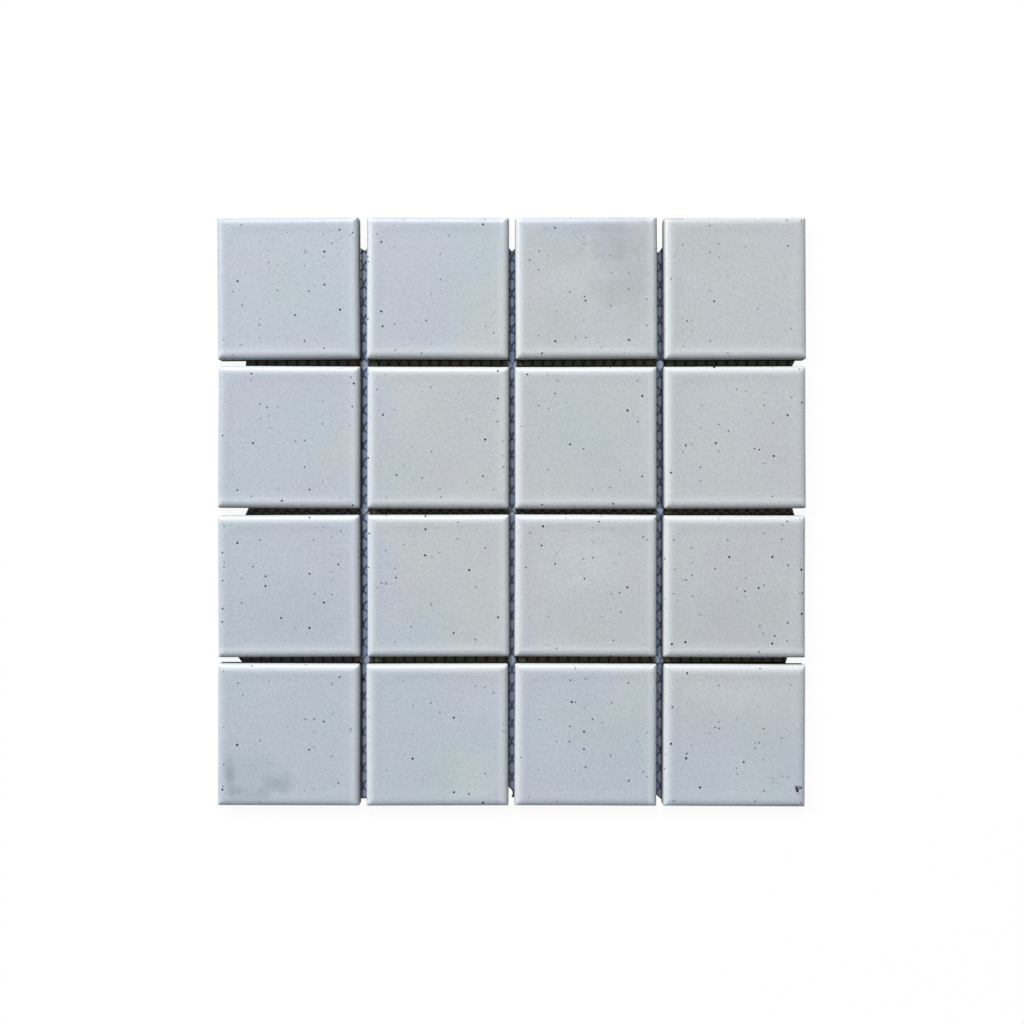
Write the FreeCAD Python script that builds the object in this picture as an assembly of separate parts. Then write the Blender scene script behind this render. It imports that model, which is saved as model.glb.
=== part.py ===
import FreeCAD, Part
import math
import os

from FreeCAD import Vector

# Mosaic tile sheet: sixteen glazed ceramic tiles with cushion edges, glued by their backs to one net.
# Millimetres. +Z points out of the glazed faces, +Y to the sheet's upper edge, +X to its right edge.
# The origin is the centre of the sheet's underside, on the plane that the net lies on.

# Tile, a pressed and fired square
tile_side = 73.0
tile_thickness = 7.0
edge_roll_width = 4.2      # how far the rounded edge reaches in over the face
edge_roll_drop = 3.0       # how far the rounded edge falls below the face
corner_radius = 1.2        # the four upright corners, in plan
back_bevel = 0.5           # small bevel round the back, left by the press

# Sheet
tiles_per_row = 4
tile_rows = 4
joint_width = 3.2          # the open joint left for grout

# Net, a sheet of hexagonal meshes cut a little smaller than the tile field
net_thickness = 0.5
bar_width = 0.65           # of a slanted bar, one yarn wide
wall_width = 1.2           # of an upright bar, two yarns side by side
cell_width = 5.3           # from one upright bar to the next in a row of meshes
cell_row_pitch = 4.64      # from one row of meshes to the next
slant_angle = 36.0         # of the slanted bars, in degrees from X
cell_row_shift = -3.1      # a row of meshes is centred this far above the sheet's centre
net_margin_left = 13.3     # how far the cut edges lie inside the tile field
net_margin_right = 5.0
net_margin_top = 15.0
net_margin_bottom = 3.0

# Hand laying: how far each tile stands from its even place, right and up, and its turn to the left
# in degrees, row by row from the upper left.
hand_laying = [
    [(-0.3, 0.0, 0.4), (0.1, 0.1, -0.2), (0.1, 0.2, 0.3), (0.1, 0.0, 0.2)],
    [(0.1, 0.0, -0.3), (0.3, -0.3, -0.1), (-0.2, -0.4, 0.1), (0.0, -0.2, 0.2)],
    [(0.1, -0.2, 0.2), (0.4, 0.0, 0.1), (-0.3, 0.0, -0.2), (-0.3, -0.4, -0.1)],
    [(0.0, -0.1, -0.2), (-0.1, -0.2, 0.1), (-0.3, -0.2, -0.2), (-0.3, -0.5, -0.3)],
]
even_place = (0.0, 0.0, 0.0)

pitch = tile_side + joint_width
field_width = tiles_per_row * pitch - joint_width
field_height = tile_rows * pitch - joint_width
back_level = net_thickness
face_level = back_level + tile_thickness


def quarter_roll(start, corner, end):
    """A quarter of an ellipse from start to end, tangent to the two lines that meet at corner."""
    curve = Part.BezierCurve()
    curve.setPoles([start, corner, end])
    curve.setWeight(2, math.sqrt(0.5))
    return curve.toShape()


def edge_section():
    """The tile's section across its width, as a face in the X-Z plane."""
    half = tile_side / 2
    roll_start = face_level - edge_roll_drop
    right = [
        Vector(half - back_bevel, 0, back_level),
        Vector(half, 0, back_level + back_bevel),
        Vector(half, 0, roll_start),
        Vector(half, 0, face_level),
        Vector(half - edge_roll_width, 0, face_level),
    ]
    left = [Vector(-point.x, 0, point.z) for point in right]
    edges = [
        Part.makeLine(left[0], right[0]),
        Part.makeLine(right[0], right[1]),
        Part.makeLine(right[1], right[2]),
        quarter_roll(right[2], right[3], right[4]),
        Part.makeLine(right[4], left[4]),
        quarter_roll(left[4], left[3], left[2]),
        Part.makeLine(left[2], left[1]),
        Part.makeLine(left[1], left[0]),
    ]
    return Part.Face(Part.Wire(edges))


def make_tile():
    """One tile on the sheet's centre, its four rounded edges meeting in mitres at the corners."""
    half = tile_side / 2
    along_y = edge_section().translated(Vector(0, -half, 0)).extrude(Vector(0, tile_side, 0))
    along_x = along_y.copy()
    along_x.rotate(Vector(0, 0, 0), Vector(0, 0, 1), 90)
    plan = Part.makeBox(tile_side, tile_side, tile_thickness, Vector(-half, -half, back_level))
    upright = [edge for edge in plan.Edges if abs(edge.tangentAt(edge.FirstParameter).z) > 0.9]
    plan = plan.makeFillet(corner_radius, upright)
    return along_y.common(along_x).common(plan)


def tile_place(row, column):
    """Where the middle of a tile lies, and its turn, counted from the upper left."""
    listed = row < len(hand_laying) and column < len(hand_laying[row])
    right, up, turn = hand_laying[row][column] if listed else even_place
    x = (column - (tiles_per_row - 1) / 2) * pitch + right
    y = ((tile_rows - 1) / 2 - row) * pitch + up
    return Vector(x, y, 0), turn


def lay_tiles():
    """The tiles at their places on the net, by name."""
    tile = make_tile()
    laid = {}
    for row in range(tile_rows):
        for column in range(tiles_per_row):
            place, turn = tile_place(row, column)
            piece = tile.copy()
            piece.rotate(Vector(0, 0, 0), Vector(0, 0, 1), turn)
            piece.translate(place)
            laid[f"tile_{row + 1}_{column + 1}"] = piece
    return laid


def mesh_opening():
    """One opening between the net's bars, as a six-sided face on the origin."""
    rise = cell_width / 2 * math.tan(math.radians(slant_angle))
    wall = cell_row_pitch - rise
    half_width = (cell_width - wall_width) / 2
    # The slanted bars take their width square to themselves
    apex = wall / 2 + rise - bar_width / 2 / math.cos(math.radians(slant_angle))
    shoulder = apex - half_width * math.tan(math.radians(slant_angle))
    corners = [
        Vector(0, apex, 0),
        Vector(-half_width, shoulder, 0),
        Vector(-half_width, -shoulder, 0),
        Vector(0, -apex, 0),
        Vector(half_width, -shoulder, 0),
        Vector(half_width, shoulder, 0),
    ]
    return Part.Face(Part.makePolygon(corners + corners[:1]))


def between_upright_bars(x):
    """The nearest line to x that runs midway between two upright bars."""
    half_cell = cell_width / 2
    return (math.floor(x / half_cell) + 0.5) * half_cell


def through_row_middle(y):
    """The nearest line to y that runs through the middle of a row of meshes."""
    return cell_row_shift + round((y - cell_row_shift) / cell_row_pitch) * cell_row_pitch


def panel_edges(low, high, count, snap):
    """The net's two cut edges with the seams between them, which hide under the tiles' middles."""
    seams = [(index - (count - 1) / 2) * pitch for index in range(count)]
    inner = [snap(seam) for seam in seams if low + cell_width < seam < high - cell_width]
    return [snap(low)] + inner + [snap(high)]


def net_panel(opening, x_low, x_high, y_low, y_high):
    """One panel of the net: a thin plate less every opening that reaches into it."""
    plate = Part.makePlane(x_high - x_low, y_high - y_low, Vector(x_low, y_low, 0))
    whole = []
    cut_off = []
    first_row = math.floor((y_low - cell_row_shift) / cell_row_pitch) - 1
    last_row = math.ceil((y_high - cell_row_shift) / cell_row_pitch) + 1
    first_column = math.floor(x_low / cell_width) - 1
    last_column = math.ceil(x_high / cell_width) + 1
    for row in range(first_row, last_row + 1):
        stagger = (row % 2) / 2
        y = cell_row_shift + row * cell_row_pitch
        for column in range(first_column, last_column + 1):
            hole = opening.translated(Vector((column + stagger) * cell_width, y, 0))
            box = hole.BoundBox
            inside_x = x_low < box.XMin and box.XMax < x_high
            inside_y = y_low < box.YMin and box.YMax < y_high
            outside_x = box.XMax <= x_low or box.XMin >= x_high
            outside_y = box.YMax <= y_low or box.YMin >= y_high
            if inside_x and inside_y:
                rim = hole.OuterWire
                rim.reverse()
                whole.append(rim)
            elif not outside_x and not outside_y:
                cut_off.append(hole)
    # The openings on the panel's edges are cut first, then the whole ones are set in as holes
    face = plate.cut(Part.makeCompound(cut_off)).Faces[0]
    face.cutHoles(whole)
    return face.extrude(Vector(0, 0, net_thickness))


def make_net():
    """The net in panels that meet face to face, by name, from the upper left."""
    x_edges = panel_edges(
        net_margin_left - field_width / 2, field_width / 2 - net_margin_right,
        tiles_per_row, between_upright_bars)
    y_edges = panel_edges(
        net_margin_bottom - field_height / 2, field_height / 2 - net_margin_top,
        tile_rows, through_row_middle)
    y_edges.reverse()
    opening = mesh_opening()
    panels = {}
    for row, (y_high, y_low) in enumerate(zip(y_edges, y_edges[1:])):
        for column, (x_low, x_high) in enumerate(zip(x_edges, x_edges[1:])):
            panel = net_panel(opening, x_low, x_high, y_low, y_high)
            panels[f"net_panel_{row + 1}_{column + 1}"] = panel
    return panels


def main():
    pieces = lay_tiles()
    pieces.update(make_net())
    # The hand-laid tiles shift the outline a little, so the origin goes to its middle
    middle = Part.makeCompound(list(pieces.values())).BoundBox.Center
    os.makedirs("parts", exist_ok=True)
    for name, shape in pieces.items():
        shape.translate(Vector(-middle.x, -middle.y, 0))
        shape.exportStep(f"parts/{name}.step")
        box = shape.BoundBox
        print(f"{name}: {len(shape.Solids)} solid, {len(shape.Faces)} faces, {shape.Volume:.1f} mm3, "
              f"x {box.XMin:.2f} to {box.XMax:.2f}, y {box.YMin:.2f} to {box.YMax:.2f}")


main()
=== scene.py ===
import math

import bmesh
import bpy
from mathutils import Matrix, Vector, noise


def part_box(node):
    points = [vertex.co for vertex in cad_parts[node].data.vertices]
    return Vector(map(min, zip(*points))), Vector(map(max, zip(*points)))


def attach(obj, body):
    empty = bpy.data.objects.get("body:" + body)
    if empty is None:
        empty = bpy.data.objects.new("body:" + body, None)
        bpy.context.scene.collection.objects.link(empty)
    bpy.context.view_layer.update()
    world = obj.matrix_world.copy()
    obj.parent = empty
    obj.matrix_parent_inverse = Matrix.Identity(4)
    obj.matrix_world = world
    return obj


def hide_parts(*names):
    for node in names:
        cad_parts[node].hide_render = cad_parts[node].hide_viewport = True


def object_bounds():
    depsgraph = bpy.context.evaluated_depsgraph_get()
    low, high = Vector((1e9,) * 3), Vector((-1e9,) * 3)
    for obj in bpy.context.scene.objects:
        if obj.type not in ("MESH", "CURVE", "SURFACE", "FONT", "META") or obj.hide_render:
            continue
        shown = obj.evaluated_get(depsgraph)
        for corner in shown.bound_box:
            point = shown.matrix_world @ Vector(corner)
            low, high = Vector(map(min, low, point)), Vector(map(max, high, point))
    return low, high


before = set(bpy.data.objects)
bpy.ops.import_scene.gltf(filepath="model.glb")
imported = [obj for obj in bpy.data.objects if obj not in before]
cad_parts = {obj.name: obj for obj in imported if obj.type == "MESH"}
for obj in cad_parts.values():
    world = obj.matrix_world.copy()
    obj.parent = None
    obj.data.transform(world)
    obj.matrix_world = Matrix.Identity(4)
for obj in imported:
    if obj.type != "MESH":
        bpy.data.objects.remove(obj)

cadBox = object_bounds()
mm = 0.001
scene = bpy.context.scene
tileNames = sorted(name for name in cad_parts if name.startswith("tile_"))
panelNames = sorted(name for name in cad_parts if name.startswith("net_panel_"))
tilesPerSide = round(math.sqrt(len(tileNames)))


# Camera, lights and floor

camera = {
    "height": 500 * mm,              # from the lens to the widest part of the tiles
    "widestLevel": 4.5 * mm,
    "seenWidth": 526.3 * mm,         # across the picture, at that level
    "sensor": 36.0,
    "offCentre": (0.25 * mm, -0.15 * mm),
}


def setCamera():
    data = bpy.data.cameras.new("overhead")
    data.sensor_width = camera["sensor"]
    data.lens = camera["sensor"] * camera["height"] / camera["seenWidth"]
    data.clip_start = 0.01
    eye = bpy.data.objects.new("overhead", data)
    eye.location = (*camera["offCentre"], camera["height"] + camera["widestLevel"])
    scene.collection.objects.link(eye)
    scene.camera = eye


# Strength is the share of a level face's light that a lamp gives. Turn is from the sheet's upper
# edge towards its left, in degrees.
windows = {
    "window": {"strength": 0.535, "elevation": 40.0, "turn": 8.0, "colour": (1.0, 0.99, 0.98)},
    "sideWindow": {"strength": 0.392, "elevation": 35.0, "turn": 56.0, "colour": (1.0, 0.99, 0.97)},
}

room = {
    "lampDistance": 8.0,
    "lampSize": 2.3,
    "skyStrength": 0.14,
    "skyColour": (0.86, 0.94, 1.0),
}


def addWindow(name, spec):
    rise = math.radians(spec["elevation"])
    turn = math.radians(spec["turn"])
    level = math.cos(rise)
    aim = Vector((-math.sin(turn) * level, math.cos(turn) * level, math.sin(rise)))
    data = bpy.data.lights.new(name, "AREA")
    data.shape = "SQUARE"
    data.size = room["lampSize"]
    data.color = spec["colour"]
    # An area lamp of this power lights a level white face to the strength named above
    data.energy = spec["strength"] * (math.pi * room["lampDistance"]) ** 2 / math.sin(rise)
    lamp = bpy.data.objects.new(name, data)
    lamp.location = aim * room["lampDistance"]
    lamp.rotation_euler = aim.to_track_quat("Z", "Y").to_euler()
    scene.collection.objects.link(lamp)


def setSky():
    world = bpy.data.worlds.new("sky")
    world.use_nodes = True
    tree = world.node_tree
    tree.nodes.clear()
    output = tree.nodes.new("ShaderNodeOutputWorld")
    rays = tree.nodes.new("ShaderNodeLightPath")
    sky = tree.nodes.new("ShaderNodeBackground")
    sky.inputs["Color"].default_value = (*room["skyColour"], 1)
    sky.inputs["Strength"].default_value = room["skyStrength"]
    white = tree.nodes.new("ShaderNodeBackground")
    white.inputs["Color"].default_value = (1, 1, 1, 1)
    mix = tree.nodes.new("ShaderNodeMixShader")
    tree.links.new(rays.outputs["Is Camera Ray"], mix.inputs[0])
    tree.links.new(sky.outputs[0], mix.inputs[1])
    tree.links.new(white.outputs[0], mix.inputs[2])
    tree.links.new(mix.outputs[0], output.inputs["Surface"])
    scene.world = world
    scene.view_settings.view_transform = "Standard"


# Shader maths: a wire is one output socket, and arithmetic on it adds Math nodes

class Wire:
    def __init__(self, recipe, socket):
        self.recipe = recipe
        self.socket = socket

    def math(self, operation, *others):
        values = dict(enumerate((self, *others)))
        return self.recipe.node("Math", {"operation": operation}, values)

    def turned(self, operation, other):
        return self.recipe.node("Math", {"operation": operation}, {0: other, 1: self})

    def __add__(self, other):
        return self.math("ADD", other)

    def __radd__(self, other):
        return self.turned("ADD", other)

    def __sub__(self, other):
        return self.math("SUBTRACT", other)

    def __rsub__(self, other):
        return self.turned("SUBTRACT", other)

    def __mul__(self, other):
        return self.math("MULTIPLY", other)

    def __rmul__(self, other):
        return self.turned("MULTIPLY", other)

    def __truediv__(self, other):
        return self.math("DIVIDE", other)

    def output(self, name):                  # another output of the same node
        return Wire(self.recipe, self.socket.node.outputs[name])

    def below(self, level, blur):            # 1 well below the level, 0 well above it
        return self.recipe.ramp(self, level - blur, level + blur, 1.0, 0.0)

    def above(self, level, blur):
        return self.recipe.ramp(self, level - blur, level + blur, 0.0, 1.0)


class Recipe:
    def __init__(self, name):
        self.material = bpy.data.materials.new(name)
        self.material.use_nodes = True
        self.tree = self.material.node_tree
        self.tree.nodes.clear()

    def node(self, kind, settings=None, values=None, out=0):
        made = self.tree.nodes.new("ShaderNode" + kind)
        for key, value in (settings or {}).items():
            setattr(made, key, value)
        for key, value in (values or {}).items():
            if isinstance(value, Wire):
                self.tree.links.new(value.socket, made.inputs[key])
            else:
                made.inputs[key].default_value = value
        return Wire(self, made.outputs[out])

    def place(self):                         # the point's own place, whole, level and by axis
        where = self.node("TexCoord", out="Object")
        flat = self.node("VectorMath", {"operation": "MULTIPLY"}, {0: where, 1: (1, 1, 0)})
        x = self.node("SeparateXYZ", {}, {0: where}, "X")
        return where, flat, x, x.output("Y"), x.output("Z")

    def attribute(self, name):               # a mask that the piece's mesh carries
        return self.node("Attribute", {"attribute_name": name}, {}, "Fac")

    def noise(self, where, size, detail=2.0, roughness=0.5, out="Fac"):
        values = {"Vector": where, "Scale": 1 / size, "Detail": detail, "Roughness": roughness}
        return self.node("TexNoise", {}, values, out)

    def ramp(self, wire, low, high, start, end):
        settings = {"interpolation_type": "SMOOTHSTEP"}
        values = {"Value": wire, "From Min": low, "From Max": high, "To Min": start, "To Max": end}
        return self.node("MapRange", settings, values)

    def blend(self, share, first, second):   # a colour between two colours
        ends = [end if isinstance(end, Wire) else (*end, 1) for end in (first, second)]
        return self.node("Mix", {"data_type": "RGBA"}, {0: share, 6: ends[0], 7: ends[1]}, 2)

    def bump(self, height, reach, strength=1.0):
        return self.node("Bump", {}, {"Height": height, "Distance": reach, "Strength": strength})

    def finish(self, shader):
        output = self.tree.nodes.new("ShaderNodeOutputMaterial")
        self.tree.links.new(shader.socket, output.inputs["Surface"])
        return self.material


def linear(red, green, blue):                # a colour as a paint chart gives it, 0 to 255
    share = [value / 255 for value in (red, green, blue)]
    return tuple(s / 12.92 if s < 0.04045 else ((s + 0.055) / 1.055) ** 2.4 for s in share)


# Joints: the open channels between the tiles, and where the net stops in each of them

netEnds = {
    # Channels from left to right: the lower cut and its slope, the upper cut at the channel's
    # middle, how steeply that one rises to both sides and leans to the right, and how much
    # painted shade darkens the channel
    "upright": [
        {"bottom": -148.7 * mm, "slope": 0.0,
         "top": 135.2 * mm, "rise": 1.0, "lean": 0.3, "shade": 0.0},
        {"bottom": -144.4 * mm, "slope": -1.0,
         "top": 135.0 * mm, "rise": 1.0, "lean": -0.15, "shade": 0.25},
        {"bottom": -147.9 * mm, "slope": -0.9,
         "top": 134.3 * mm, "rise": 1.1, "lean": 0.4, "shade": 0.42},
    ],
    # Channels from top to bottom: the left and the right cut, with their slopes, and where the
    # painted shade at the foot starts, counted from the channel's middle
    "level": [
        {"left": -137.7 * mm, "leftSlope": 0.0,
         "right": 146.0 * mm, "rightSlope": 0.5, "foot": -0.6 * mm},
        {"left": -137.3 * mm, "leftSlope": 0.45,
         "right": 146.2 * mm, "rightSlope": -0.3, "foot": -1.25 * mm},
        {"left": -141.1 * mm, "leftSlope": -0.8,
         "right": 142.8 * mm, "rightSlope": 0.3, "foot": -1.45 * mm},
    ],
}

channel = {
    "halfWidth": 2.3 * mm,
    "soft": 0.55 * mm,
    "endSoft": 0.1 * mm,                     # how softly the net ends at a cut
    "wallShadeFrom": 1.25 * mm,                   # painted shade: the net is darker this far from the channel's middle
    "wallShadeSoft": 0.35 * mm,
    "wallShadeDepth": 0.7,
    "cutReach": 1.0 * mm,                    # and this near its cut edges
    "cutSoft": 0.9 * mm,
    "cutDepth": 0.75,
    "crossing": 1.7 * mm,                    # but not where two channels cross, which get painted light
    "crossingSoft": 0.7 * mm,
    "levelFootShadeSoft": 0.25 * mm,              # how softly the painted shade at the level channels' foot fades
}

# Black dirt caught in the left channel, as the marks on the glaze are given below
dirt = (-77.3, -86.6, -76.4, -86.9, 0.6, 1.0)
strokeFade = (0.5, 1.5)                      # a mark fades between these shares of its width


def channels(axis):                          # each channel's middle, from the tiles beside it
    middles = []
    for rank in range(1, tilesPerSide):
        if axis == 0:
            before = [name for name in tileNames if name.endswith(f"_{rank}")]
            after = [name for name in tileNames if name.endswith(f"_{rank + 1}")]
        else:
            before = [name for name in tileNames if name.startswith(f"tile_{rank + 1}")]
            after = [name for name in tileNames if name.startswith(f"tile_{rank}")]
        low = max(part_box(name)[1][axis] for name in before)
        high = min(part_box(name)[0][axis] for name in after)
        middles.append((low + high) / 2)
    return middles


uprightMiddles = channels(0)
levelMiddles = channels(1)


def insideNet(x, y):                         # whether the net reaches this place
    column = min(range(tilesPerSide - 1), key=lambda k: abs(x - uprightMiddles[k]))
    row = min(range(tilesPerSide - 1), key=lambda k: abs(y - levelMiddles[k]))
    ends = netEnds["upright"][column]
    sides = netEnds["level"][row]
    reach = channel["halfWidth"]
    across = max(-reach, min(reach, x - uprightMiddles[column]))
    along = max(-reach, min(reach, y - levelMiddles[row]))
    foot = ends["bottom"] + ends["slope"] * across
    head = ends["top"] + ends["rise"] * abs(across) + ends["lean"] * across
    left = sides["left"] + sides["leftSlope"] * along
    right = sides["right"] + sides["rightSlope"] * along
    return foot < y < head and left < x < right


def strokeMask(recipe, flat, stroke):        # a line from one place to another, with soft sides
    start = Vector(stroke[0:2]).to_3d() * mm
    end = Vector(stroke[2:4]).to_3d() * mm
    ahead = (end - start).normalized()
    away = recipe.node("VectorMath", {"operation": "SUBTRACT"}, {0: flat, 1: start})
    along = recipe.node("VectorMath", {"operation": "DOT_PRODUCT"}, {0: away, 1: ahead}, "Value")
    along = recipe.node("Clamp", {}, {"Value": along, "Min": 0.0, "Max": (end - start).length})
    nearest = recipe.node("VectorMath", {"operation": "SCALE"}, {0: ahead, "Scale": along})
    off = recipe.node("VectorMath", {"operation": "DISTANCE"}, {0: away, 1: nearest}, "Value")
    width = stroke[4] * mm
    return recipe.ramp(off, width * strokeFade[0], width * strokeFade[1], stroke[5], 0.0)


def channelMasks(recipe, flat, x, y):
    # 1 over the net in the upright channels, over it in the level ones, under the painted shade at
    # the foot of those, and where two channels cross and light is painted, and how much painted
    # shade and black dirt darken the net in the upright ones
    cut = channel["endSoft"]
    crossingLight, levels, levelFootShade, uprights, dark = 0.0, 0.0, 0.0, 0.0, 0.0
    for middle, sides in zip(levelMiddles, netEnds["level"]):
        along = y - middle
        aside = along.math("ABSOLUTE")
        left = x - along * sides["leftSlope"]
        right = x - along * sides["rightSlope"]
        crossingLight += aside.below(channel["crossing"], channel["crossingSoft"])
        levels += aside.below(channel["halfWidth"] + channel["soft"], cut) * (
            left.above(sides["left"], cut) * right.below(sides["right"], cut))
        # Painted shadow along the foot of each level channel
        low = along.below(sides["foot"], channel["levelFootShadeSoft"])
        levelFootShade += aside.below(channel["halfWidth"], cut) * low
    for middle, ends in zip(uprightMiddles, netEnds["upright"]):
        across = x - middle
        aside = across.math("ABSOLUTE")
        foot = y - across * ends["slope"]
        head = y - aside * ends["rise"] - across * ends["lean"]
        inside = aside.below(channel["halfWidth"], channel["soft"])
        uprights += inside * foot.above(ends["bottom"], cut) * head.below(ends["top"], cut)
        reach, soft = channel["cutReach"], channel["cutSoft"]
        whole = foot.above(ends["bottom"] + reach, soft) * head.below(ends["top"] - reach, soft)
        # Painted shade along the tiles' feet and over the more shaded channels, and darker near the
        # cut edges
        light = 1 - aside.above(channel["wallShadeFrom"], channel["wallShadeSoft"]) * channel["wallShadeDepth"]
        light = light * (1 - (1 - whole) * channel["cutDepth"]) * (1 - ends["shade"])
        dark += inside * (1 - light)
    dark = (dark * (1 - crossingLight)).math("MAXIMUM", strokeMask(recipe, flat, dirt))
    levels = levels * (1 - uprights)
    return uprights, levels, levelFootShade * levels, crossingLight * uprights, dark


# Floor

floor = {
    "reach": 3.0,                            # half the side of the square
    "colour": linear(250, 250, 250),
    "shadeUnderNet": linear(154, 171, 201),       # the ground that shows through the net's meshes, painted the slate blue of shade
    # painted shade in the upright channels, and the black dirt
    "deepShadeAndDirt": linear(34, 42, 58),
    # painted light where two channels cross
    "lightAtCrossing": linear(180, 191, 212),
    # painted shade: the brown of the shaded level channels
    "shadeUnderLevelNet": linear(174, 163, 143),
    # painted shadow at the foot of the level channels
    "footShadow": linear(30, 27, 23),
    "showsWhite": 0.94,                      # how nearly the camera sees plain white elsewhere
}


def floorMaterial():
    recipe = Recipe("paleFloor")
    flat, x, y = recipe.place()[1:4]
    uprights, levels, levelFootShade, crossingLight, dark = channelMasks(recipe, flat, x, y)
    # Painted shade: the ground under the net is slate blue, and darker where more shade is painted
    ground = recipe.blend(dark, floor["shadeUnderNet"], floor["deepShadeAndDirt"])
    # Painted light where two channels cross
    ground = recipe.blend(crossingLight, ground, floor["lightAtCrossing"])
    colour = recipe.blend(uprights, floor["colour"], ground)
    # Painted shade: the ground in the level channels is brown
    colour = recipe.blend(levels, colour, floor["shadeUnderLevelNet"])
    # Painted shadow at the foot of the level channels
    colour = recipe.blend(levelFootShade, colour, floor["footShadow"])
    paint = recipe.node("BsdfDiffuse", {}, {"Color": colour})
    white = recipe.node("Emission", {}, {"Color": (1, 1, 1, 1), "Strength": 1.0})
    rays = recipe.node("LightPath", {}, {}, "Is Camera Ray")
    share = rays * (1 - uprights - levels) * floor["showsWhite"]
    return recipe.finish(recipe.node("MixShader", {}, {0: share, 1: paint, 2: white}))


def makeFloor():
    shape = bmesh.new()
    bmesh.ops.create_grid(shape, x_segments=1, y_segments=1, size=floor["reach"])
    mesh = bpy.data.meshes.new("floor")
    shape.to_mesh(mesh)
    shape.free()
    mesh.materials.append(floorMaterial())
    piece = bpy.data.objects.new("floor", mesh)
    scene.collection.objects.link(piece)


def addPiece(name, shape, material, body="root"):
    mesh = bpy.data.meshes.new(name)
    shape.to_mesh(mesh)
    shape.free()
    for face in mesh.polygons:
        face.use_smooth = True
    mesh.materials.append(material)
    piece = bpy.data.objects.new(name, mesh)
    scene.collection.objects.link(piece)
    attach(piece, body)
    return piece


def triangleCount(piece):
    return sum(len(face.vertices) - 2 for face in piece.data.polygons)


# Tiles

tile = {
    "side": 73.0 * mm,
    "rollWidth": 4.8 * mm,           # the rounded edge, inwards
    "rollDrop": 3.0 * mm,            # and downwards
    "rollFullness": 2.5,             # 2 is a quarter of an ellipse, and more is squarer
    "rollRings": 12,                 # grid lines over the rounded edge
    "closeSteps": 9,                 # from there over the rim of the glaze and a little further
    "pastRim": 1.0 * mm,
    "flatSteps": 15,                 # and from there to the middle
    "mitreSoftness": 6.0,            # higher makes a sharper crease where two rounded edges meet
    "cornerRadius": 1.2 * mm,
    "backBevel": 0.5 * mm,
    "rimPlace": 4.3 * mm,            # the glaze stands proud here, and sinks further inwards
    "rimReach": 5.0 * mm,
    "rimHeight": 0.14 * mm,
    "rimSquareness": 10,             # higher makes a sharper corner of that line
    # Painted highlight along the left, right, lower and upper edge: how far in the glaze is painted
    # palest, how fast that fades and how strong it is. It is weaker along the sheet's outside.
    "rimHighlightBands": [
        (1.2 * mm, 2.7 * mm, 1.0),
        (2.9 * mm, 1.8 * mm, 0.75),
        (3.8 * mm, 1.7 * mm, 0.85),
        (1.7 * mm, 2.1 * mm, 1.0),
    ],
    "outerRimHighlight": 0.1,
    "glazeRun": 0.8 * mm,            # the glaze runs further down on the upper edge
    "glazeRunReach": 3.0 * mm,
    "wave": 0.03 * mm,               # how uneven the glazed face is, its mean and its spread
    "waveMean": 0.6,
    "waveSpread": 0.8,
    "waveLength": 17 * mm,
    "bow": 0.08 * mm,                # how far an edge wanders in from straight, likewise
    "bowMean": 0.5,
    "bowSpread": 0.7,
    "bowLength": 30 * mm,
    "unlikeness": 40,                # higher makes neighbouring tiles' unevenness less alike
}


def tileLay(node):                           # a tile's centre and turn, from its face's corners
    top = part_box(node)[1][2] - 0.01 * mm
    face = [v.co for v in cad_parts[node].data.vertices if v.co.z > top]
    northEast = max(face, key=lambda p: p.x + p.y)
    southWest = min(face, key=lambda p: p.x + p.y)
    southEast = max(face, key=lambda p: p.x - p.y)
    side = northEast - southEast
    centre = (northEast + southWest) / 2
    return centre, math.atan2(-side.x, side.y)


def gridLines():                             # how far in and how far down each grid line lies
    lines = []
    for step in range(tile["rollRings"], -1, -1):
        outwards = math.sin(math.pi / 2 * step / tile["rollRings"])
        height = (1 - outwards ** tile["rollFullness"]) ** (1 / tile["rollFullness"])
        lines.append((tile["rollWidth"] * (1 - outwards), tile["rollDrop"] * (1 - height)))
    closeReach = tile["rimReach"] + tile["pastRim"]
    for step in range(1, tile["closeSteps"] + 1):
        lines.append((tile["rollWidth"] + closeReach * step / tile["closeSteps"], 0.0))
    start = lines[-1][0]
    for step in range(1, tile["flatSteps"] + 1):
        lines.append((start + (tile["side"] / 2 - start) * step / tile["flatSteps"], 0.0))
    return lines


def faceFall(x, y, seed):                    # how far the glazed face lies below its rim
    # From the nearest edge inwards, rounded at the corners
    power = tile["rimSquareness"]
    inset = tile["side"] / 2 - (abs(x) ** power + abs(y) ** power) ** (1 / power)
    inwards = min(1.0, max(0.0, (inset - tile["rimPlace"]) / tile["rimReach"]))
    dish = tile["rimHeight"] * (0.5 - 0.5 * math.cos(math.pi * inwards))
    sway = noise.noise(Vector((x, y, 0)) / tile["waveLength"] + seed)
    level = min(1.0, max(0.0, inset / tile["rollWidth"]))
    return dish + tile["wave"] * (tile["waveMean"] + tile["waveSpread"] * sway) * level


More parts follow.
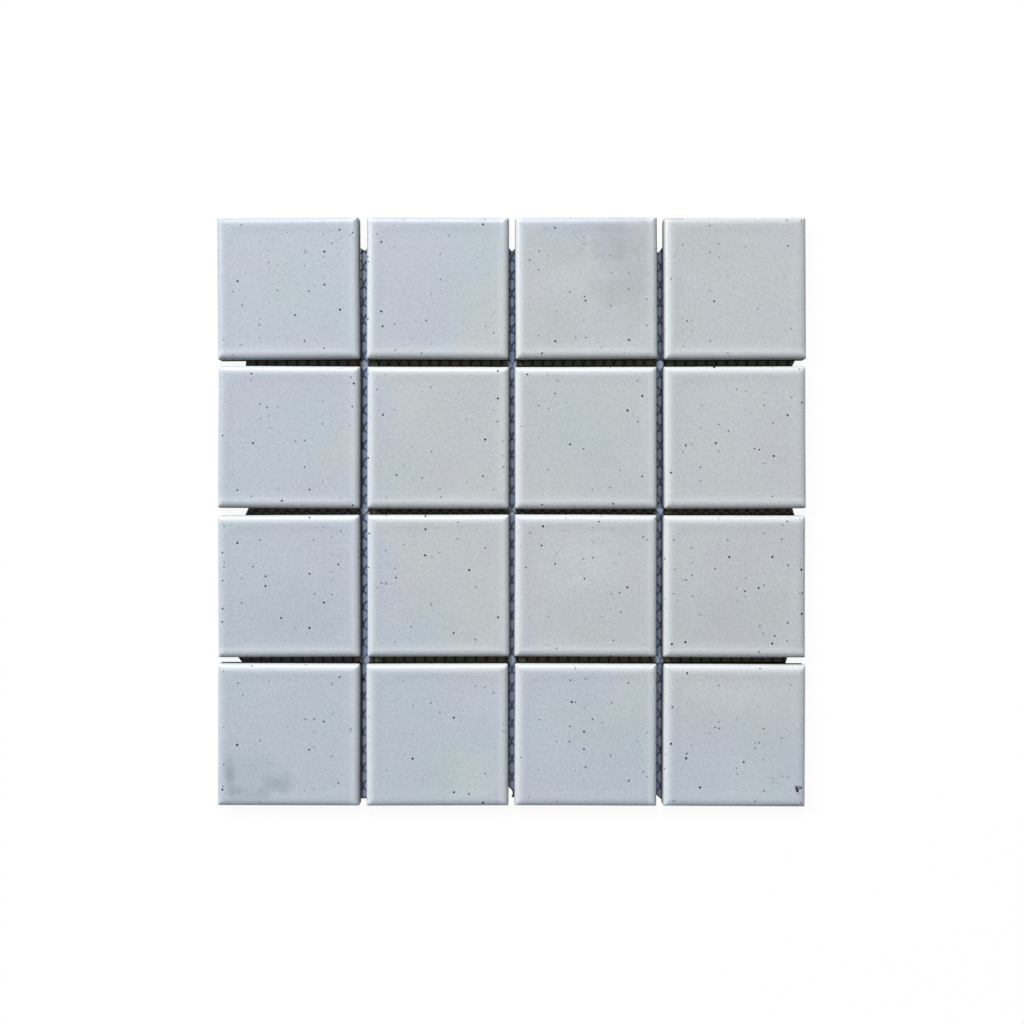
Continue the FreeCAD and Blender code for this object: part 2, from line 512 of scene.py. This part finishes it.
def glazedFace(node, top, seed):             # the face with its rounded edges and the glaze's masks
    half = tile["side"] / 2
    lines = gridLines()
    across = [(inset - half, drop) for inset, drop in lines]
    across += [(half - inset, drop) for inset, drop in lines[-2::-1]]
    count = len(across) - 1
    shape = bmesh.new()
    bmesh.ops.create_grid(shape, x_segments=count, y_segments=count, size=0.5)
    # Mask for the painted highlight along the rims
    pale = shape.verts.layers.float.new("rimHighlight")
    run = shape.verts.layers.float.new("glazeRun")
    # Mask for the painted shade low on the upper and lower side, inside the sheet
    shadedWallMask = shape.verts.layers.float.new("shadedWallMask")
    row, column = [int(part) for part in node.split("_")[1:]]
    outside = (column == 1, column == tilesPerSide, row == tilesPerSide, row == 1)
    shares = [tile["outerRimHighlight"] if side else 1.0 for side in outside]
    soft = tile["mitreSoftness"]
    for vert in shape.verts:
        x, dropX = across[round((vert.co.x + 0.5) * count)]
        y, dropY = across[round((vert.co.y + 0.5) * count)]
        drop = (dropX ** soft + dropY ** soft) ** (1 / soft)
        vert.co = Vector((x, y, top - drop - faceFall(x, y, seed)))
        insets = (half + x, half - x, half + y, half - y)
        bands = zip(shares, insets, tile["rimHighlightBands"])
        vert[pale] = max(share * strength * math.exp(-((inset - middle) / fade) ** 2)
                         for share, inset, (middle, fade, strength) in bands)
        above = max(0.0, 1 - insets[3] / tile["glazeRunReach"]) if row > 1 else 0.0
        below = max(0.0, 1 - insets[2] / tile["glazeRunReach"]) if row < tilesPerSide else 0.0
        vert[run] = above
        vert[shadedWallMask] = max(above, below)
    return shape


def pulledOut(shape, edges):                 # new walls from open edges: their far corners and edges
    made = bmesh.ops.extrude_edge_only(shape, edges=edges)["geom"]
    verts = [part for part in made if isinstance(part, bmesh.types.BMVert)]
    rim = [part for part in made if isinstance(part, bmesh.types.BMEdge) and part.is_boundary]
    return verts, rim


def closeBack(shape, low):                   # the sides, the bevel round the back and the back
    bevel = tile["backBevel"]
    verts, rim = pulledOut(shape, [edge for edge in shape.edges if edge.is_boundary])
    for vert in verts:
        vert.co.z = low + bevel
    verts, rim = pulledOut(shape, rim)
    shrink = 1 - bevel / (tile["side"] / 2)
    for vert in verts:
        vert.co = Vector((vert.co.x * shrink, vert.co.y * shrink, low))
    bmesh.ops.edgeloop_fill(shape, edges=rim)


def shapeOutline(shape, seed):               # the tile's outline as seen from above
    half = tile["side"] / 2
    radius = tile["cornerRadius"]
    for vert in shape.verts:
        x, y, z = vert.co
        # The corners are rounded
        overX = abs(x) - (half - radius)
        overY = abs(y) - (half - radius)
        over = math.hypot(max(overX, 0), max(overY, 0))
        if over > radius:
            x = math.copysign(half - radius + overX / over * radius, x) if overX > 0 else x
            y = math.copysign(half - radius + overY / over * radius, y) if overY > 0 else y
        # Each edge wanders in from straight, and the offsets keep the four wanderings apart
        swayX = noise.noise(Vector((y / tile["bowLength"], 3.1, math.copysign(2, x))) + seed)
        swayY = noise.noise(Vector((x / tile["bowLength"], 7.7, math.copysign(2, y))) + seed)
        x -= tile["bow"] * (tile["bowMean"] + tile["bowSpread"] * swayX) * x / half
        y -= tile["bow"] * (tile["bowMean"] + tile["bowSpread"] * swayY) * y / half
        vert.co = Vector((x, y, z))


def makeTile(node, material):
    low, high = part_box(node)
    centre, turn = tileLay(node)
    seed = Vector((centre.x, centre.y, 0)) * tile["unlikeness"]
    shape = glazedFace(node, high[2], seed)
    closeBack(shape, low[2])
    shapeOutline(shape, seed)
    bmesh.ops.recalc_face_normals(shape, faces=shape.faces)
    lay = Matrix.Translation((centre.x, centre.y, 0)) @ Matrix.Rotation(turn, 4, "Z")
    bmesh.ops.transform(shape, matrix=lay, verts=shape.verts)
    piece = addPiece("glazed_" + node, shape, material)
    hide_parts(node)
    return piece


glaze = {
    "neutral": linear(198, 202, 205),
    "cool": linear(191, 200, 212),
    "lilac": linear(195, 194, 207),
    "green": linear(186, 200, 200),
    "pale": linear(214, 221, 221),
    "stain": linear(154, 160, 158),
    "smudge": linear(144, 157, 166),
    "pit": linear(150, 160, 168),            # of the fine grain
    "speck": linear(10, 11, 13),
    "rim": linear(225, 231, 235),            # painted highlight: the glaze is painted paler along the rim
    "rimHighlightShare": 0.5,
    "grainShare": 0.45,
    "grainSize": 1.5 * mm,
    "grainFrom": 0.53,
    "grainSoft": 0.2,
    "clusterSize": 16 * mm,                  # specks stand closer in some places than in others
    "clusterFrom": 0.52,
    "clusterSoft": 0.2,
    "clusterGain": 1.5,
    "outsideClusters": 0.35,
    "rippleSize": 1.1 * mm,
    "rippleShare": 0.5,
    "swellSize": 4 * mm,
    "speckSinks": 0.6,                       # specks lie a little below the glaze
    "reliefDepth": 0.06 * mm,
    "reliefStrength": 0.6,
    "roughness": 0.42,
    "roughnessSpread": 0.12,
    "broadSize": 34 * mm,                    # of the neutral and the cool areas
    "broadSpread": 2.2,
    "neutralMiddle": (90 * mm, 25 * mm),     # the glaze is neutral round here and cooler outside it
    "neutralReach": (150 * mm, 110 * mm),
    "neutralEdge": 1.25,                     # in those reaches
    "neutralSoft": 0.3,
    "neutralFrom": 76 * mm,                  # and right of this line, down to the next
    "neutralFromSoft": 12 * mm,
    "neutralDownTo": -108 * mm,
    "neutralDownSoft": 25 * mm,
    "tintSize": 42 * mm,                     # of the lilac and greenish areas
    "tintFrom": 0.56,
    "tintSoft": 0.09,
    "tintShare": 0.35,
    "cloudSize": 9 * mm,                     # how the patches' outlines break up
    "cloudSpread": 1.6,
    "patchFade": 1.2,                        # where a patch ends, in its own reaches
    "lineBelowFace": 1.4 * mm,               # the glaze stops here on the rounded edge, unevenly
    "lineWander": 0.6 * mm,
    "lineSoft": 0.1 * mm,
}

# Specks by size: how far apart, the share of places that have one, radius, and how dark
specks = [
    {"spacing": 7.4 * mm, "share": 0.11, "radius": 0.54 * mm, "depth": 1.0},
    {"spacing": 4.6 * mm, "share": 0.09, "radius": 0.35 * mm, "depth": 1.0},
    {"spacing": 2.9 * mm, "share": 0.16, "radius": 0.21 * mm, "depth": 0.5},
]
speckShape = {"smallest": 0.65, "spread": 0.45, "soft": 0.16}    # in shares of the radius
speckPickSoft = 0.002                        # a place has a speck or has none, with nothing between

# Marks of use, in mm from the sheet's middle: from, to, width and how dark
strokes = [
    (145.6, -140.8, 145.9, -142.3, 0.70, 0.90),      # a chip in the lower right tile
    (145.9, -142.3, 146.1, -142.9, 0.60, 1.00),
    (146.0, -140.6, 147.3, -141.0, 0.60, 0.50),
    (146.4, -142.0, 148.3, -141.1, 0.44, 0.70),
    (147.9, -141.1, 148.3, -140.9, 0.45, 0.85),
    (146.6, -143.0, 146.8, -144.3, 0.24, 0.30),      # and small marks near it
    (144.2, -141.2, 145.0, -141.4, 0.30, 0.22),
    (141.4, -135.8, 141.5, -135.9, 0.30, 0.80),
    (136.5, -149.9, 148.8, -149.8, 0.20, 0.35),
    (147.6, -148.6, 148.4, -149.2, 0.35, 0.60),
    (77.4, -87.5, 92.0, -99.5, 0.10, 0.10),          # long faint scratches
    (84.0, -90.0, 101.4, -106.4, 0.10, 0.10),
    (-82.8, -110.7, -81.7, -110.6, 0.22, 0.40),      # a scribble on the lower left tile
    (-81.7, -110.6, -81.6, -111.2, 0.22, 0.35),
    (-81.6, -111.2, -82.9, -112.7, 0.26, 0.52),
    (-82.8, -110.8, -82.9, -111.3, 0.22, 0.35),
    (-83.6, -109.3, -83.4, -109.6, 0.26, 0.22),
    (67.2, -70.2, 69.4, -71.4, 0.14, 0.30),          # short scratches
    (56.9, -100.0, 58.0, -100.6, 0.16, 0.30),
]

# Soft patches, in mm from the sheet's middle: colour, middle, reach across and up, and strength
patches = [
    ("neutral", 38.0, 108.0, 34.0, 34.0, 0.70),
    ("cool", -114.0, -112.0, 42.0, 40.0, 0.70),
    ("lilac", -134.0, 128.0, 20.0, 14.0, 0.35),
    ("lilac", -142.0, 52.0, 12.0, 16.0, 0.45),
    ("lilac", -70.0, 48.0, 10.0, 18.0, 0.40),
    ("lilac", -58.0, -42.0, 16.0, 14.0, 0.50),
    ("lilac", -22.0, -92.0, 20.0, 10.0, 0.30),
    ("lilac", 98.0, -112.0, 18.0, 18.0, 0.25),
    ("green", 38.0, 38.0, 32.0, 30.0, 0.50),
    ("green", 56.0, -14.0, 22.0, 12.0, 0.30),
    ("pale", 38.0, -24.0, 36.0, 22.0, 0.35),
    ("pale", 20.0, -112.0, 24.0, 30.0, 0.14),
    ("pale", 112.0, 30.0, 36.0, 24.0, 0.06),
    ("green", 112.0, 138.0, 30.0, 9.0, 0.40),
    ("green", -34.0, -132.0, 26.0, 14.0, 0.35),
    ("pale", -18.0, -134.0, 20.0, 18.0, 0.30),
    ("pale", -18.0, -98.0, 20.0, 16.0, 0.15),
    ("pale", 56.0, -96.0, 18.0, 16.0, 0.22),
    ("pale", 112.0, -92.0, 36.0, 14.0, 0.25),
    ("pale", 118.0, -136.0, 24.0, 18.0, 0.20),
    ("pale", 112.0, 58.0, 36.0, 16.0, 0.12),
    ("stain", 52.0, 139.0, 20.0, 12.0, 0.50),
    ("stain", 22.0, 134.0, 18.0, 16.0, 0.22),
    ("stain", 60.0, 118.0, 24.0, 26.0, 0.34),
    ("stain", -114.0, -54.0, 40.0, 22.0, 0.14),
    ("stain", 112.0, -54.0, 40.0, 22.0, 0.14),
    ("stain", 20.0, 94.0, 22.0, 22.0, 0.15),
    ("stain", 96.0, 132.0, 22.0, 16.0, 0.10),
    ("smudge", -119.5, -139.0, 9.5, 6.5, 0.70),
    ("smudge", -143.8, -134.0, 3.4, 11.0, 0.65),
    ("smudge", -141.0, -142.0, 6.0, 3.4, 0.55),
    ("smudge", -132.0, -145.0, 14.0, 4.0, 0.40),
    ("smudge", -136.0, -132.0, 20.0, 20.0, 0.22),
]

# A strip of one upper edge that the glaze missed
missedGlaze = {
    "from": 78.9 * mm,
    "to": 86.8 * mm,
    "above": 149.0 * mm,
    "rise": 0.9 * mm,
    "soft": 0.3 * mm,
}

bareClay = {
    "colour": linear(195, 193, 185),
    # painted shade lower down the sides, and the colour of the clay's grit
    "dark": linear(128, 130, 130),
    "shaded": linear(28, 26, 23),            # painted shade, low on the upper and lower side, inside the sheet
    "shadedFrom": 2.7 * mm,                  # this far below the face
    "shadedSoft": 0.5 * mm,
    "shadedWallSoft": 0.3,                    # how softly the painted shade ends towards the other sides
    "darkFrom": 2.6 * mm,
    "darkSoft": 1.5 * mm,
    "roughness": 0.85,
    "grainSize": 0.8 * mm,
    "grainShare": 0.4,
    "reliefDepth": 0.12 * mm,
    "reliefStrength": 0.8,
}


def speckMask(recipe, where, clusters, spec):
    # One speck in each cell of its size, kept in a share of the cells, and in more of them in
    # the clusters
    values = {"Vector": where, "Scale": 1 / spec["spacing"], "Randomness": 1.0}
    settings = {"voronoi_dimensions": "2D", "feature": "F1"}
    cell = recipe.node("TexVoronoi", settings, values, "Distance")
    away = cell * spec["spacing"]
    pick = recipe.node("SeparateColor", {}, {0: cell.output("Color")}, "Red")
    reach = spec["radius"] * (speckShape["smallest"] + speckShape["spread"] * pick.output("Green"))
    soft = speckShape["soft"] * spec["radius"]
    inside = recipe.ramp(away, reach - soft, reach + soft, 1.0, 0.0)
    kept = (pick - clusters * spec["share"]).below(0.0, speckPickSoft)
    return inside * kept * spec["depth"]


def patchMask(recipe, flat, patch, cloud):
    middleX, middleY, reachX, reachY = [value * mm for value in patch[1:5]]
    values = {0: flat, 1: (1 / reachX, 1 / reachY, 0), 2: (-middleX / reachX, -middleY / reachY, 0)}
    away = recipe.node("VectorMath", {"operation": "MULTIPLY_ADD"}, values)
    away = recipe.node("VectorMath", {"operation": "LENGTH"}, {0: away}, "Value") + cloud
    return recipe.ramp(away, 0.0, glaze["patchFade"], patch[5], 0.0)


def glazeColour(recipe, where, flat, x, y):
    # Neutral in the sheet's right part and cool outside it
    middle, reach = glaze["neutralMiddle"], glaze["neutralReach"]
    broad = (recipe.noise(where, glaze["broadSize"]) - 0.5) * glaze["broadSpread"]
    offX = (x - middle[0]) / reach[0]
    offY = (y - middle[1]) / reach[1]
    away = offX * offX + offY * offY + broad
    kept = x.above(glaze["neutralFrom"], glaze["neutralFromSoft"])
    kept = kept * y.above(glaze["neutralDownTo"], glaze["neutralDownSoft"])
    cool = away.above(glaze["neutralEdge"], glaze["neutralSoft"]) * (1 - kept)
    colour = recipe.blend(cool, glaze["neutral"], glaze["cool"])
    # Lilac and greenish areas, from two channels of one noise
    tint = recipe.noise(where, glaze["tintSize"], out="Color")
    tint = recipe.node("SeparateColor", {}, {0: tint}, "Red")
    lilac = tint.above(glaze["tintFrom"], glaze["tintSoft"]) * glaze["tintShare"]
    green = tint.output("Blue").above(glaze["tintFrom"], glaze["tintSoft"]) * glaze["tintShare"]
    colour = recipe.blend(lilac, colour, glaze["lilac"])
    colour = recipe.blend(green, colour, glaze["green"])
    cloud = (recipe.noise(where, glaze["cloudSize"], 4.0, 0.6) - 0.5) * glaze["cloudSpread"]
    for patch in patches:
        colour = recipe.blend(patchMask(recipe, flat, patch, cloud), colour, glaze[patch[0]])
    return colour


def marksMask(recipe, where, flat):          # the specks and the marks of use
    clusters = recipe.noise(where, glaze["clusterSize"], 1.0)
    clusters = clusters.above(glaze["clusterFrom"], glaze["clusterSoft"])
    clusters = clusters * glaze["clusterGain"] + glaze["outsideClusters"]
    dots = 0.0
    for spec in specks:
        dots = speckMask(recipe, where, clusters, spec).math("MAXIMUM", dots)
    for stroke in strokes:
        dots = strokeMask(recipe, flat, stroke).math("MAXIMUM", dots)
    return dots


def glazeShader(recipe, where, flat, x, y):
    colour = glazeColour(recipe, where, flat, x, y)
    grain = recipe.noise(where, glaze["grainSize"], 4.0, 0.8)
    grain = grain.above(glaze["grainFrom"], glaze["grainSoft"])
    colour = recipe.blend(grain * glaze["grainShare"], colour, glaze["pit"])
    # Painted highlight: the glaze is painted paler along the rims
    rim = recipe.attribute("rimHighlight")
    colour = recipe.blend(rim * glaze["rimHighlightShare"], colour, glaze["rim"])
    dots = marksMask(recipe, where, flat)
    colour = recipe.blend(dots, colour, glaze["speck"])
    ripple = recipe.noise(where, glaze["rippleSize"], 3.0, 0.6) * glaze["rippleShare"]
    relief = ripple + recipe.noise(where, glaze["swellSize"]) - dots * glaze["speckSinks"]
    gloss = (recipe.noise(where, glaze["cloudSize"]) - 0.5) * glaze["roughnessSpread"]
    return recipe.node("BsdfPrincipled", {}, {
        "Base Color": colour,
        "Roughness": glaze["roughness"] + gloss,
        "Normal": recipe.bump(relief, glaze["reliefDepth"], glaze["reliefStrength"]),
    })


def clayShader(recipe, where, z):            # bare clay on the lower sides and the back
    grit = recipe.noise(where, bareClay["grainSize"], 4.0, 0.7)
    shadedWallMask = recipe.attribute("shadedWallMask").above(0.5, bareClay["shadedWallSoft"])
    down = cadBox[1][2] - z
    # Painted shade: the clay is darker lower down the sides
    dark = down.above(bareClay["darkFrom"], bareClay["darkSoft"])
    # Painted shade: nearly black low on the upper and lower side, inside the sheet
    shaded = down.above(bareClay["shadedFrom"], bareClay["shadedSoft"]) * shadedWallMask
    clayColour = recipe.blend(dark, bareClay["colour"], bareClay["dark"])
    clayColour = recipe.blend(grit * bareClay["grainShare"], clayColour, bareClay["dark"])
    clayColour = recipe.blend(shaded, clayColour, bareClay["shaded"])
    return recipe.node("BsdfPrincipled", {}, {
        "Base Color": clayColour,
        "Roughness": bareClay["roughness"],
        "Normal": recipe.bump(grit, bareClay["reliefDepth"], bareClay["reliefStrength"]),
    })


def glazeEnd(recipe, where, x, y, z):        # 1 below the line where the glaze stops, 0 above it
    soft = missedGlaze["soft"]
    strip = x.above(missedGlaze["from"], soft) * x.below(missedGlaze["to"], soft)
    strip = strip * y.above(missedGlaze["above"], soft) * missedGlaze["rise"]
    wander = (recipe.noise(where, glaze["swellSize"], 3.0) - 0.5) * glaze["lineWander"]
    run = recipe.attribute("glazeRun") * tile["glazeRun"]
    lowest = cadBox[1][2] - glaze["lineBelowFace"]
    return (z + run - strip - wander).below(lowest, glaze["lineSoft"])


def tileMaterial():
    recipe = Recipe("speckledGlaze")
    where, flat, x, y, z = recipe.place()
    glazed = glazeShader(recipe, where, flat, x, y)
    bisque = clayShader(recipe, where, z)
    bare = glazeEnd(recipe, where, x, y, z)
    return recipe.finish(recipe.node("MixShader", {}, {0: bare, 1: glazed, 2: bisque}))


# Net

net = {
    "cellWidth": 5.3 * mm,
    "rowPitch": 4.64 * mm,
    "slant": 36.0,
    "yarnWidth": 0.60 * mm,
    "besideCrossing": 0.30 * mm,     # how far each yarn stands off the middle of an upright wall
    "weave": 0.5,                    # how far a yarn rises and dips where two cross, in yarn radii
    "wander": 0.35 * mm,
    "wanderLength": 14 * mm,
    "spareSteps": 2,                 # past the cut edges, where a cut wanders outwards
    "fewestPoints": 4,               # a shorter end of yarn would have fallen off
    "fibreSize": 0.3 * mm,
    "fibreShare": 0.5,
    "patchSize": 7 * mm,
    "darkFrom": 0.5,
    "darkSoft": 0.2,
    "reliefDepth": 0.08 * mm,
    "reliefStrength": 0.8,
    "roughness": 0.55,
    "colour": linear(94, 109, 143),
    "dark": linear(50, 63, 94),
    # painted shade in the upright channels, and the black dirt
    "darkestShadeAndDirt": linear(24, 32, 48),
    # painted light where two channels cross
    "crossing": linear(128, 141, 166),
    "crossingLightShare": 0.7,
    # painted shade: the yarn in the level channels is brown
    "levelShadeBrown": linear(90, 82, 70),
    # painted shadow at the foot of the level channels
    "foot": linear(24, 22, 19),
}

# A loose end of yarn below the middle channel: how far right of the channel's middle, how far up
# from the sheet's middle, both in mm, and how many yarns thick
looseEnd = [
    (0.5, -143.8, 1.3),
    (0.9, -145.2, 1.6),
    (1.0, -146.6, 1.6),
    (0.6, -147.5, 2.3),
    (0.5, -148.0, 2.3),
]


def netMaterial():
    recipe = Recipe("slateYarn")
    where, flat, x, y = recipe.place()[:4]
    fibre = recipe.noise(where, net["fibreSize"], 3.0, 0.7)
    patch = recipe.noise(where, net["patchSize"])
    mottle = fibre * net["fibreShare"] + patch * (1 - net["fibreShare"])
    darker = mottle.below(net["darkFrom"], net["darkSoft"])
    colour = recipe.blend(darker, net["colour"], net["dark"])
    uprights, levels, levelFootShade, crossingLight, dark = channelMasks(recipe, flat, x, y)
    # Painted shade darkens the yarn in the upright channels, and the black dirt
    colour = recipe.blend(dark, colour, net["darkestShadeAndDirt"])
    # Painted light on the yarn where two channels cross
    colour = recipe.blend(crossingLight * net["crossingLightShare"], colour, net["crossing"])
    # Painted shade: the yarn in the level channels is brown
    colour = recipe.blend(levels, colour, net["levelShadeBrown"])
    # Painted shadow on the yarn at the foot of the level channels
    colour = recipe.blend(levelFootShade, colour, net["foot"])
    yarn = recipe.node("BsdfPrincipled", {}, {
        "Base Color": colour,
        "Roughness": net["roughness"],
        "Normal": recipe.bump(fibre, net["reliefDepth"], net["reliefStrength"]),
    })
    return recipe.finish(yarn)


def strayed(x, y):                           # the net isn't stretched quite evenly
    at = Vector((x, y, 0)) / net["wanderLength"]
    strayX = noise.noise(at) * net["wander"]
    strayY = noise.noise(at + Vector((9, 4, 2))) * net["wander"]
    return x + strayX, y + strayY


def yarnRun(x, y, lean, first, last):
    # A yarn's points down past one upright wall and on to the next. Each is a place from the
    # wall's middle and a level, from 1 over the other yarn to -1 under it, and the shares in them
    # lay the two yarns of a wall side by side.
    half = net["cellWidth"] / 2
    rise = half * math.tan(math.radians(net["slant"]))
    wall = net["rowPitch"] - rise
    beside = net["besideCrossing"]
    above = [(-beside, wall * 0.46, -0.6), (-beside * 0.9, wall * 0.24, 0.0)]
    crossing = [(0.0, 0.0, 1.0)]
    under = [
        (beside * 0.9, -wall * 0.24, 0.0),
        (beside, -wall * 0.46, -0.6),
        (beside + half * 0.38, -wall / 2 - rise * 0.22, -0.3),
        (half - beside * 1.6, -wall / 2 - rise * 0.72, -0.6),
    ]
    run = (above if not first else []) + crossing + (under if not last else [])
    return [(x + lean * stepX, y + stepY, lean * level) for stepX, stepY, level in run]


def addSpline(data, points, radii=None):
    spline = data.splines.new("NURBS")
    spline.points.add(len(points) - 1)
    for index, (point, (x, y, z)) in enumerate(zip(spline.points, points)):
        point.co = (*strayed(x, y), z, 1)
        point.radius = radii[index] if radii else 1.0
    spline.use_endpoint_u = True
    spline.order_u = 3


def insideRuns(points):                      # the parts of a yarn that the net's cuts leave
    runs = [[]]
    for point in points:
        if insideNet(*point[:2]):
            runs[-1].append(point)
        else:
            runs.append([])
    return [run for run in runs if len(run) >= net["fewestPoints"]]


def yarnCurve(name):
    data = bpy.data.curves.new(name, "CURVE")
    data.dimensions = "3D"
    data.bevel_depth = net["yarnWidth"] / 2
    data.bevel_resolution = 1
    data.resolution_u = 1
    data.use_fill_caps = True
    return data


def curveShape(data):                        # a curve's finished yarns as a bmesh
    holder = bpy.data.objects.new(data.name, data)
    scene.collection.objects.link(holder)
    graph = bpy.context.evaluated_depsgraph_get()
    mesh = bpy.data.meshes.new_from_object(holder.evaluated_get(graph))
    bpy.data.objects.remove(holder)
    shape = bmesh.new()
    shape.from_mesh(mesh)
    bpy.data.meshes.remove(mesh)
    return shape


def netGrid():                               # the net's lower left wall, and its columns and rows
    low = [min(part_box(name)[0][axis] for name in panelNames) for axis in range(2)]
    high = [max(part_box(name)[1][axis] for name in panelNames) for axis in range(2)]
    half = net["cellWidth"] / 2
    # The cut edges run midway between upright walls and through the middle of a row of walls
    corner = (low[0] + half / 2, low[1])
    columns = round((high[0] - low[0]) / half)
    rows = round((high[1] - low[1]) / net["rowPitch"])
    return corner, columns, rows


def yarnPoints(corner, rows, start, lean, firstRow, lastRow):
    half = net["cellWidth"] / 2
    radius = net["yarnWidth"] / 2
    points = []
    for row in range(lastRow, firstRow - 1, -1):
        # A yarn goes half a mesh sideways for each row down
        step = start + lean * (rows - row)
        if (step + row) % 2 == 0:
            continue
        x = corner[0] + step * half
        y = corner[1] + row * net["rowPitch"]
        run = yarnRun(x, y, lean, row == lastRow, row == firstRow)
        points += [(px, py, level * net["weave"] * radius) for px, py, level in run]
    return points


def makeStrip(strip, grid, material):
    corner, columns, rows = grid
    names = [name for name in panelNames if name.split("_")[2] == strip]
    firstRow = round((min(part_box(name)[0][1] for name in names) - corner[1]) / net["rowPitch"])
    lastRow = round((max(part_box(name)[1][1] for name in names) - corner[1]) / net["rowPitch"])
    endsNet = firstRow == 0
    if endsNet:
        firstRow -= 1
    data = yarnCurve("strip" + strip)
    spare = net["spareSteps"]
    for lean in (1, -1):
        for start in range(-rows - spare, columns + rows + spare):
            for kept in insideRuns(yarnPoints(corner, rows, start, lean, firstRow, lastRow)):
                addSpline(data, kept)
    if endsNet:
        tail = [(uprightMiddles[1] + px * mm, py * mm, 0.0) for px, py, thick in looseEnd]
        addSpline(data, tail, [thick for px, py, thick in looseEnd])
    # The yarns are pressed to the thickness of the solids' net
    shape = curveShape(data)
    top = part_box(panelNames[0])[1][2]
    depth = (1 + net["weave"]) * net["yarnWidth"] / 2
    for vert in shape.verts:
        vert.co.z = top / 2 * (1 + max(-1.0, min(1.0, vert.co.z / depth)))
    piece = addPiece("yarn_net_" + strip, shape, material)
    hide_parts(*names)
    print("net strip", strip, "of", triangleCount(piece), "triangles")


def makeNet(material):
    grid = netGrid()
    for strip in sorted({name.split("_")[2] for name in panelNames}):
        makeStrip(strip, grid, material)


setCamera()
for name, spec in windows.items():
    addWindow(name, spec)
setSky()
makeFloor()
print("camera, lights and floor are set")
tileFinish = tileMaterial()
for name in tileNames:
    glazedTile = makeTile(name, tileFinish)
print("tiles", len(tileNames), "of", triangleCount(glazedTile), "triangles")
makeNet(netMaterial())
print("net is done")
